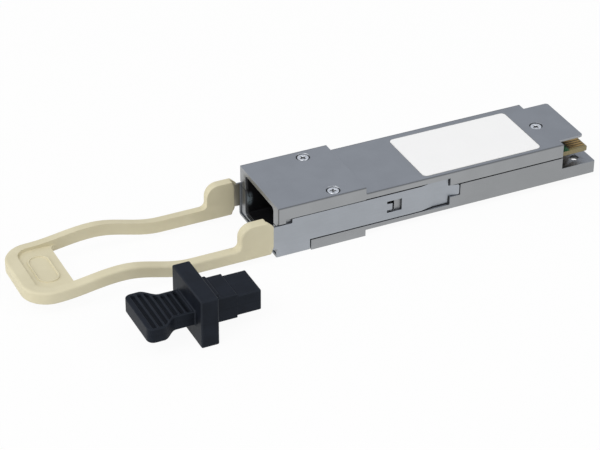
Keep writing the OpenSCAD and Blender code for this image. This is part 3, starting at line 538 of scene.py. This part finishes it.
def cover_share(edge):
    """The full radius round the mouths of the screws' pits, and a third of it elsewhere."""
    middle = middle_of(edge)
    off = min(math.hypot(middle.x - x, middle.y - y) for x, y in screw_axes)
    at_mouth = off < PIT_R + 0.05 * MM and middle.z > LID_TOP - 0.1 * MM
    return MOUTH_SHARE if at_mouth else PLAIN_SHARE


dress("top_cover", cover_finish, 0.3 * MM, segments=3, share_of=cover_share)

# %% [markdown]
# The slider is cut and bent from thin stainless sheet. Rolling leaves fine lines along the strip,
# which runs along the module, so the noise is drawn out along X. The sheared edges are dark, partly
# as cut steel and partly as painted shade for the narrow slits and gaps beside them. On the inner
# sides of the strips between the tab's ears a painted reflection of the beige ears turns into
# painted shadow the nearer the case.

# %% Rolled steel slider
STEEL = (0.36, 0.382, 0.412)
# Colours of a painted reflection of the beige ears and a painted shadow near the case.
REFLECTED_BEIGE, SHADOW_NEAR_CASE = (0.8, 0.74, 0.6, 1), (0.14, 0.13, 0.1, 1)
REFLECTION_RUN = 2 * MM
STRIP_IN_Y, STRIP_OUT_Y = HALF_W - 0.45 * MM, HALF_W - 0.3 * MM
steel_finish, shader, place = start_finish("rolled_steel", Metallic=1.0)
along, across = place.axis("X"), abs(place.axis("Y"))
lines = place.noise(0.06 * MM, 2, stretch=(60, 1, 1))
patches = place.noise(4 * MM, 2)
tone = (lines * 0.6 + patches * 0.4).ease(0.3, 0.7)
rolled = tone.blend(grey(0.94, STEEL), grey(1.05, STEEL))
# A painted reflection of the beige ears on the inner sides of the strips in front of the case, which
# turns into painted shadow nearer the case.
ahead = 1 - along.ease(FRONT_X - 0.5 * MM, FRONT_X - 0.1 * MM)
inside = 1 - across.ease(STRIP_IN_Y, STRIP_OUT_Y)
beige_reflection_to_shadow = along.ease(FRONT_X - REFLECTION_RUN, FRONT_X).blend(REFLECTED_BEIGE, SHADOW_NEAR_CASE)
with_beige_reflection = (ahead * inside).blend(rolled, beige_reflection_to_shadow)
# Cut edges: darker as sheared steel, and darker still as painted shade for the slits and gaps beside
# them.
sideways = abs(facing_of(place).axis("Y"))
sheared_and_gap_shade = (1 - sideways.ease(0.4, 0.9)) * place.axis("Z").ease(0.0, 0.5 * MM)
(sheared_and_gap_shade * 0.8).blend(with_beige_reflection, grey(0.2)).into(shader, "Base Color")
(0.3 + 0.1 * lines + 0.05 * patches).into(shader, "Roughness")
lines.bump(shader, 0.002 * MM)
dress("latch_slider", steel_finish, 0.08 * MM, body="latch")

# %% [markdown]
# The tab is one soft-edged moulding in beige plastic. A spark-eroded mould leaves a fine even grain
# on it, and the pigment is never quite even. Its outer upper edge has the widest radius, along the
# arms and round the loop, and narrows over the ears. The thumb panel carries a raised oval.

# %% Beige pull tab
BEIGE_DARK, BEIGE_LIGHT = (0.665, 0.61, 0.43, 1), (0.715, 0.66, 0.475, 1)
tab_finish, shader, place = start_finish("beige_moulding", Specular_IOR_Level=0.3)
grain = place.noise(0.12 * MM, 3)
swirl = place.noise(6 * MM, 3)
swirl.ease(0.25, 0.75).blend(BEIGE_DARK, BEIGE_LIGHT).into(shader, "Base Color")
(0.5 + 0.16 * grain).into(shader, "Roughness")
grain.bump(shader, 0.008 * MM)

tab_low, tab_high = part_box("pull_tab")
LOOP_R = 5.5 * MM
EAR_FOOT_X, EAR_TOP_X, EAR_BACK_X = -47.2 * MM, -43.5 * MM, -41 * MM
EAR_STEP_Y = 8.69 * MM
INNER_SHARE, STEP_SHARE = 0.5, 0.06


def tab_share(edge):
    """The full radius along the outer upper outline of the arms and the loop, half of it elsewhere
    and on top of the ears, and hardly any on the small step behind each ear."""
    middle = middle_of(edge)
    if middle.x > EAR_BACK_X and abs(abs(middle.y) - EAR_STEP_Y) < 0.02 * MM:
        return STEP_SHARE
    corner_x = max(tab_low.x + LOOP_R - middle.x, 0.0)
    corner_y = max(abs(middle.y) - tab_high.y + LOOP_R, 0.0)
    inside = math.hypot(corner_x, corner_y) < LOOP_R - 0.3 * MM
    downward = min(face.normal.z for face in edge.link_faces) < -0.5
    if inside or downward:
        return INNER_SHARE
    up_the_ear = (middle.x - EAR_FOOT_X) / (EAR_TOP_X - EAR_FOOT_X)
    return 1.0 - (1.0 - INNER_SHARE) * min(max(up_the_ear, 0.0), 1.0)


dress("pull_tab", tab_finish, 0.5 * MM, segments=4, body="latch", share_of=tab_share)

# %% [markdown]
# The dust plug is a near-black, slightly rubbery moulding. It has a satin skin with a fine grain, a
# hint of blue, and softly rounded edges that are lighter, as a painted highlight. Painted shade
# darkens its grooves, and the fine line at half its height where the two halves of the mould met is
# darker too. The shader finds both by the height above or below that line.

# %% Dust plug
BLACK_DEEP, BLACK_PALE = (0.0055, 0.0068, 0.0105, 1), (0.0085, 0.0105, 0.016, 1)
BLACK_EDGE_HIGHLIGHT, BLACK_SHADE_AND_SEAM = (0.034, 0.038, 0.046, 1), (0.0022, 0.0026, 0.004, 1)
BLUE_TINT = (0.72, 0.85, 1.0, 1.0)
GRIP_L = 10 * MM
GROOVE_LOW, GROOVE_HIGH = 1.05 * MM, 1.35 * MM
PARTING_IN, PARTING_OUT = 0.03 * MM, 0.09 * MM
plug_finish, shader, place = start_finish("black_plug", Specular_Tint=BLUE_TINT,
                                          Specular_IOR_Level=0.16)
grain = place.noise(0.15 * MM, 3)
bloom = place.noise(3 * MM, 3)
skin = bloom.ease(0.3, 0.7).blend(BLACK_DEEP, BLACK_PALE)
low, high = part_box("dust_plug")
off_middle = abs(place.axis("Z") - (low.z + high.z) / 2)
level = abs(facing_of(place).axis("Z")).ease(0.5, 0.8)
on_grip = 1 - place.axis("X").past(low.x + GRIP_L)
# Painted shade in the grooves of the grip.
groove_shade = level * on_grip * (1 - off_middle.ease(GROOVE_LOW, GROOVE_HIGH))
parting = 1 - off_middle.ease(PARTING_IN, PARTING_OUT)
# Painted highlight: the rounded edges are lighter.
with_edge_highlight = (rim_of(place) * 0.3).blend(skin, BLACK_EDGE_HIGHLIGHT)
# The grooves' painted shade and the parting line darken the colour.
groove_shade.most(parting * 0.6).blend(with_edge_highlight, BLACK_SHADE_AND_SEAM).into(shader, "Base Color")
(0.42 + 0.14 * grain + 0.06 * bloom).into(shader, "Roughness")
grain.bump(shader, 0.008 * MM)
dress("dust_plug", plug_finish, 0.3 * MM, segments=3, body="dust_plug")

# %% [markdown]
# Inside the port sits a black receptacle with two hooks. A painted glint lies on each side wall,
# just inside the mouth: a pale oval that fades outwards, broken up by noise.

# %% Receptacle
BLACK_PLASTIC = (0.004, 0.004, 0.005, 1), (0.007, 0.007, 0.008, 1)
GLINT_GREY = (0.2, 0.24, 0.27, 1)
GLINT_X, GLINT_Z, WALL_Y = -37.2 * MM, 3.5 * MM, 6.2 * MM
GLINT_L, GLINT_H = 0.9 * MM, 2.0 * MM
port_finish, shader, place = start_finish("black_receptacle", Specular_IOR_Level=0.25)
grain = place.noise(0.1 * MM, 2)
off_glint = ((place.axis("X") - GLINT_X) / GLINT_L).far_from((place.axis("Z") - GLINT_Z) / GLINT_H)
on_wall = abs(place.axis("Y")).ease(WALL_Y - 0.1 * MM, WALL_Y)
# A painted glint on each side wall, just inside the mouth.
painted_glint = (1 - off_glint.ease(0.2, 1.0)) * on_wall * place.noise(0.4 * MM, 2).ease(0.2, 0.5)
painted_glint.blend(grain.blend(*BLACK_PLASTIC), GLINT_GREY).into(shader, "Base Color")
(0.4 + 0.2 * grain).into(shader, "Roughness")
grain.bump(shader, 0.006 * MM)
dress("receptacle", port_finish, 0.1 * MM)

# %% [markdown]
# Behind the receptacle sits the ferrule with its two guide pins. Its face shows a row of twelve
# polished fibre ends, a quarter of a millimetre apart. They are too small to model, so the shader
# paints a row of dots: the distance from the middle of each step along Y makes them. The pins are
# ground, which leaves rings round them.

# %% Ferrule and guide pins
PORT_Z = 4.25 * MM
FIBRES, FIBRE_PITCH = 12, 0.25 * MM
FIBRE_END = (0.3, 0.33, 0.36, 1)
FILLED_PLASTIC = (0.018, 0.017, 0.017, 1), (0.032, 0.03, 0.029, 1)
ferrule_finish, shader, place = start_finish("filled_ferrule", Specular_IOR_Level=0.4)
across = place.axis("Y")
column = across.within(FIBRE_PITCH) / FIBRE_PITCH - 0.5
row = (place.axis("Z") - PORT_Z) / FIBRE_PITCH
in_row = 1 - abs(across).past(FIBRES * FIBRE_PITCH / 2, 0.001 * MM)
fibre = (1 - column.far_from(row).ease(0.22, 0.27)) * in_row
filler = place.noise(0.08 * MM, 2)
fibre.blend(filler.blend(*FILLED_PLASTIC), FIBRE_END).into(shader, "Base Color")
(0.45 + 0.15 * filler - 0.3 * fibre).into(shader, "Roughness")
dress("ferrule", ferrule_finish, 0.08 * MM)

pin_finish, shader, place = start_finish("ground_pins", Metallic=1.0)
rings = place.noise(0.05 * MM, 2, stretch=(1, 30, 30))
rings.blend(grey(0.5), grey(0.62)).into(shader, "Base Color")
(0.2 + 0.12 * rings).into(shader, "Roughness")
dress("guide_pins", pin_finish, 0.16 * MM, segments=3)

# %% [markdown]
# A moulded keeper holds the pins, and a gasket of rubber filled with metal flakes seals the port
# against stray signals. The flakes are noise cut off at a high level, which leaves small islands:
# they are brighter, smoother and more metallic than the rubber round them.

# %% Pin keeper and gasket
keeper_finish, shader, place = start_finish("moulded_keeper")
grain = place.noise(0.1 * MM, 3)
grain.blend(grey(0.06), grey(0.085)).into(shader, "Base Color")
(0.45 + 0.2 * grain).into(shader, "Roughness")
dress("pin_keeper", keeper_finish, 0.1 * MM)

gasket_finish, shader, place = start_finish("conductive_gasket")
flakes = place.noise(0.09 * MM, 3).ease(0.56, 0.62)
flakes.blend(grey(0.03), grey(0.3)).into(shader, "Base Color")
(flakes * 0.8).into(shader, "Metallic")
(0.75 - 0.35 * flakes).into(shader, "Roughness")
flakes.bump(shader, 0.01 * MM)
dress("emi_gasket", gasket_finish, 0.16 * MM, segments=3)

# %% [markdown]
# A ribbon of coated fibres runs from the ferrule to a moulded lens block, which bends the light
# down to the lasers and detectors. The ribbon's coating lets the fibres show as fine ridges. The
# lens polymer is clear amber with a polished skin, which a clear coat gives.

# %% Fibre ribbon and lens block
COATING = (0.05, 0.28, 0.34, 1), (0.1, 0.42, 0.5, 1)
AMBER = (0.42, 0.24, 0.07, 1), (0.52, 0.32, 0.11, 1)
ribbon_finish, shader, place = start_finish("coated_ribbon", Coat_Weight=0.4)
ridges = place.axis("Y").wave(FIBRE_PITCH)
ridges.blend(*COATING).into(shader, "Base Color")
(0.3 + 0.15 * place.noise(0.5 * MM)).into(shader, "Roughness")
ridges.bump(shader, 0.03 * MM)
dress("fibre_ribbon", ribbon_finish, 0.1 * MM, segments=3)

lens_finish, shader, place = start_finish("amber_lens", Coat_Weight=0.6)
streak = place.noise(1.5 * MM, 2)
streak.blend(*AMBER).into(shader, "Base Color")
(0.1 + 0.15 * streak).into(shader, "Roughness")
dress("lens_block", lens_finish, 0.06 * MM)

# %% [markdown]
# The board is glass laminate under green solder mask. The mask is thin, so copper tracks below it
# show as slightly lighter lines. It stops short of the contacts, so the laminate round them is
# bare and tan, like the sawn edges, and nearly black in the gaps between them. The shader tells the
# faces from the edges by the surface's own direction.

# %% Circuit board and contacts
MASK_GREEN = (0.008, 0.085, 0.03, 1), (0.014, 0.125, 0.045, 1)
LAMINATE_TAN = (0.2, 0.16, 0.07, 1), (0.29, 0.24, 0.12, 1)
DARK_LAMINATE = (0.03, 0.022, 0.01, 1)
GOLD = (0.34, 0.21, 0.065, 1), (0.46, 0.3, 0.105, 1)
TRACK_PITCH, TRACK_SWAY, WEAVE_PITCH = 0.5 * MM, 1.2 * MM, 0.18 * MM
MASK_END_X, CONTACTS_END_X, CONTACTS_Y = 28.6 * MM, 32.55 * MM, 7.47 * MM
board_finish, shader, place = start_finish("masked_board", Coat_Weight=0.3)
along, across = place.axis("X"), place.axis("Y")
edge_on = 1 - abs(facing_of(place).axis("Z")).ease(0.35, 0.6)
bare = edge_on.most(along.past(MASK_END_X, 0.2 * MM))
lanes = place.noise(2.4 * MM, 0)
tracks = (across + lanes * TRACK_SWAY).wave(TRACK_PITCH).ease(0.55, 0.75)
weave = place.axis("Z").wave(WEAVE_PITCH)
among_contacts = (1 - abs(across).past(CONTACTS_Y)) * (1 - along.past(CONTACTS_END_X))
# The bare laminate is nearly black between the contacts.
darkened_among_contacts = (1 - edge_on) * among_contacts * 0.9
laminate = darkened_among_contacts.blend(weave.blend(*LAMINATE_TAN), DARK_LAMINATE)
bare.blend(tracks.blend(*MASK_GREEN), laminate).into(shader, "Base Color")
(0.3 + 0.35 * bare + 0.08 * lanes).into(shader, "Roughness")
(tracks * (1 - bare)).bump(shader, 0.015 * MM)
dress("circuit_board", board_finish, 0.04 * MM)

gold_finish, shader, place = start_finish("contact_gold", Metallic=1.0)
scuffs = place.noise(0.08 * MM, 2, stretch=(40, 1, 1))
scuffs.ease(0.3, 0.7).blend(*GOLD).into(shader, "Base Color")
(0.25 + 0.2 * scuffs).into(shader, "Roughness")
dress("gold_fingers", gold_finish, 0.02 * MM)

# %% [markdown]
# The chips come in three kinds. Bare dies are polished silicon with a faint grid of pads, the
# controller sits in a black moulded package with a dot beside its first contact, and the small
# parts are ceramic with tinned ends. Waves along X and Y make the grid, a distance makes the dot,
# and the place within each part's step along X makes the ends.

# %% Chips on the board
SILICON, PAD_METAL = (0.045, 0.05, 0.07, 1), (0.4, 0.36, 0.24, 1)
PAD_PITCH = 0.12 * MM
die_finish, shader, place = start_finish("bare_dies", Coat_Weight=0.2)
columns, rows = (place.axis(name).wave(PAD_PITCH).ease(0.7, 0.8) for name in "XY")
grid = columns * rows
grid.blend(SILICON, PAD_METAL).into(shader, "Base Color")
(0.2 + 0.1 * place.noise(0.3 * MM)).into(shader, "Roughness")
(grid * 0.7).into(shader, "Metallic")
for die in ("laser_array", "detector_array", "laser_driver", "receiver_chip"):
    dress(die, die_finish, 0.03 * MM)

DOT_INSET, DOT_R = 0.7 * MM, 0.22 * MM
package_finish, shader, place = start_finish("moulded_package")
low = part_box("controller_chip")[0]
dot_x = place.axis("X") - (low.x + DOT_INSET)
dot_y = place.axis("Y") - (low.y + DOT_INSET)
dot = 1 - dot_x.far_from(dot_y).past(DOT_R, 0.04 * MM)
grain = place.noise(0.06 * MM, 2)
dot.blend(grey(0.018), grey(0.04)).into(shader, "Base Color")
(0.5 + 0.2 * grain - 0.25 * dot).into(shader, "Roughness")
grain.bump(shader, 0.006 * MM)
dress("controller_chip", package_finish, 0.05 * MM)

CERAMIC = (0.2, 0.12, 0.07, 1), (0.3, 0.2, 0.12, 1)
PART_PITCH, PART_LEAD = 2.2 * MM, 0.1 * MM
TIN_END, TIN_START = 0.3 * MM, 0.86 * MM
ceramic_finish, shader, place = start_finish("tinned_ceramic")
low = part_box("chip_parts")[0]
along = (place.axis("X") - low.x + PART_LEAD).within(PART_PITCH)
tinned = 1 - along.past(TIN_END, 0.04 * MM) + along.past(TIN_START, 0.04 * MM)
tinned.blend(place.noise(0.3 * MM, 3).blend(*CERAMIC), grey(0.55)).into(shader, "Base Color")
tinned.into(shader, "Metallic")
(0.5 - 0.2 * tinned).into(shader, "Roughness")
dress("chip_parts", ceramic_finish, 0.05 * MM)

# %% [markdown]
# Soft pads carry the chips' heat to the lid. They are silicone with a crumbly mineral filler, which
# fine noise with much detail gives, on the colour, the roughness and the bump alike.

# %% Thermal pads
SILICONE = (0.3, 0.33, 0.39, 1), (0.42, 0.45, 0.52, 1)
pad_finish, shader, place = start_finish("thermal_pad")
crumbs = place.noise(0.12 * MM, 4)
crumbs.blend(*SILICONE).into(shader, "Base Color")
(0.75 + 0.15 * crumbs).into(shader, "Roughness")
crumbs.bump(shader, 0.02 * MM)
dress("thermal_pads", pad_finish, 0.12 * MM, segments=3)

# %% [markdown]
# The label is plain white film. Even such a film isn't one flat white: its coating has a fine
# tooth, and it follows the lid's soft hills. A painted shade makes it a little darker and warmer
# towards the die-cut edge.

# %% Bare label
EDGE_SHADE_WHITE = (0.9, 0.895, 0.88, 1)
film_finish, shader, place = start_finish("white_film", Specular_IOR_Level=0.35)
low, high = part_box("label")
middle, half = (low + high) / 2, (high - low) / 2
side_x = abs(place.axis("X") - middle.x) / half.x
side_y = abs(place.axis("Y") - middle.y) / half.y
# Painted shade: a darker, warmer band along the die-cut edge.
rim = side_x.ease(0.97, 1.0).most(side_y.ease(0.95, 1.0))
tooth = place.noise(0.1 * MM, 3)
hills = place.noise(7 * MM, 2)
white = hills.blend(grey(0.955), grey(0.985))
rim.blend(white, EDGE_SHADE_WHITE).into(shader, "Base Color")
(0.42 + 0.16 * tooth).into(shader, "Roughness")
(tooth * 0.3 + hills).bump(shader, 0.006 * MM)
dress("label", film_finish, 0.03 * MM)

# %% [markdown]
# Three bright plated screws hold the lid. Turning leaves rings on their heads, so a wave follows
# the distance from each screw's axis. The nearest axis is the one with the smallest distance.
# Painted shade darkens the cross recess: the colour darkens with the depth below each head's top.

# %% Cover screws
PLATING = (0.99, 1, 1)
RING_PITCH = 0.09 * MM
SHADE_START_DEPTH, SHADE_FULL_DEPTH = 0.1 * MM, 0.4 * MM
screw_finish, shader, place = start_finish("bright_screws", Metallic=1.0)
along, across = place.axis("X"), place.axis("Y")
first, second, third = ((along - x).far_from(across - y) for x, y in screw_axes)
nearest = first.least(second).least(third)
turned = nearest.wave(RING_PITCH) * 0.5 + place.noise(0.3 * MM) * 0.5
bright = turned.blend(grey(0.66, PLATING), grey(0.78, PLATING))
head_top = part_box("cover_screws")[1].z - along.past(HEAD_END) * (HEAD_TOP - LID_TOP)
# Painted shade in the cross recess, darker the deeper below the head's top.
recess_shade = (head_top - place.axis("Z")).ease(SHADE_START_DEPTH, SHADE_FULL_DEPTH)
recess_shade.blend(bright, grey(0.28)).into(shader, "Base Color")
(0.2 + 0.14 * turned).into(shader, "Roughness")
turned.bump(shader, 0.003 * MM)
dress("cover_screws", screw_finish, 0.12 * MM, segments=3)

# %% [markdown]
# A coil spring behind each side plate pushes the slider home. Real springs end in a dead turn that
# lies flat against its seat. A round wire section is swept with the Screw modifier, and then the
# first and the last turn are closed up, which spreads the others.

# %% Return springs
WIRE_R = 0.13 * MM
TURNS = 11
STEPS = 20
SIDES = 10
DEAD_PITCH = 2.1 * WIRE_R
wire_finish, shader, place = start_finish("spring_wire", Metallic=1.0)
drawn = place.noise(0.04 * MM, 2)
drawn.blend(grey(0.42), grey(0.55)).into(shader, "Base Color")
(0.25 + 0.15 * drawn).into(shader, "Roughness")


def wound_length(turn, length):
    """How far along the spring its wire has come after some turns, with dead turns at the ends."""
    live_pitch = (length - 2 * DEAD_PITCH) / (TURNS - 2)
    dead_turns = min(turn, 1) + max(turn - TURNS + 1, 0)
    live_turns = min(max(turn - 1, 0), TURNS - 2)
    return DEAD_PITCH * dead_turns + live_pitch * live_turns


def return_spring(node):
    low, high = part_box(node)
    middle = (low + high) / 2
    length = high.x - low.x - 2 * WIRE_R
    ring_r = (high.z - low.z) / 2 - WIRE_R
    bpy.ops.object.select_all(action="DESELECT")
    bpy.ops.mesh.primitive_circle_add(vertices=SIDES, radius=WIRE_R, location=(0, 0, ring_r),
                                      rotation=(math.pi / 2, 0, 0))
    piece = bpy.context.object
    piece.name = node + "_coil"
    bpy.ops.object.transform_apply(location=True, rotation=True, scale=True)
    apply_modifier(piece, "wind", "SCREW", axis="X", screw_offset=length / TURNS,
                   iterations=TURNS, steps=STEPS, render_steps=STEPS)
    for vert in piece.data.vertices:
        turn = (vert.index // SIDES) / STEPS
        vert.co.x += wound_length(turn, length) - turn * length / TURNS
    bpy.ops.object.mode_set(mode="EDIT")
    bpy.ops.mesh.select_all(action="SELECT")
    bpy.ops.transform.translate(value=(low.x + WIRE_R, middle.y, middle.z))
    bpy.ops.mesh.select_all(action="DESELECT")
    bpy.ops.mesh.select_non_manifold()
    bpy.ops.mesh.edge_face_add()
    bpy.ops.mesh.select_all(action="SELECT")
    bpy.ops.mesh.normals_make_consistent(inside=False)
    bpy.ops.object.mode_set(mode="OBJECT")
    bpy.ops.object.shade_smooth_by_angle(angle=math.radians(50))
    piece.data.materials.append(wire_finish)
    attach(piece, "module")
    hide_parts(node)
    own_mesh(piece)
    print(piece.name, len(piece.data.polygons), "faces")


return_spring("return_spring_left")
return_spring("return_spring_right")
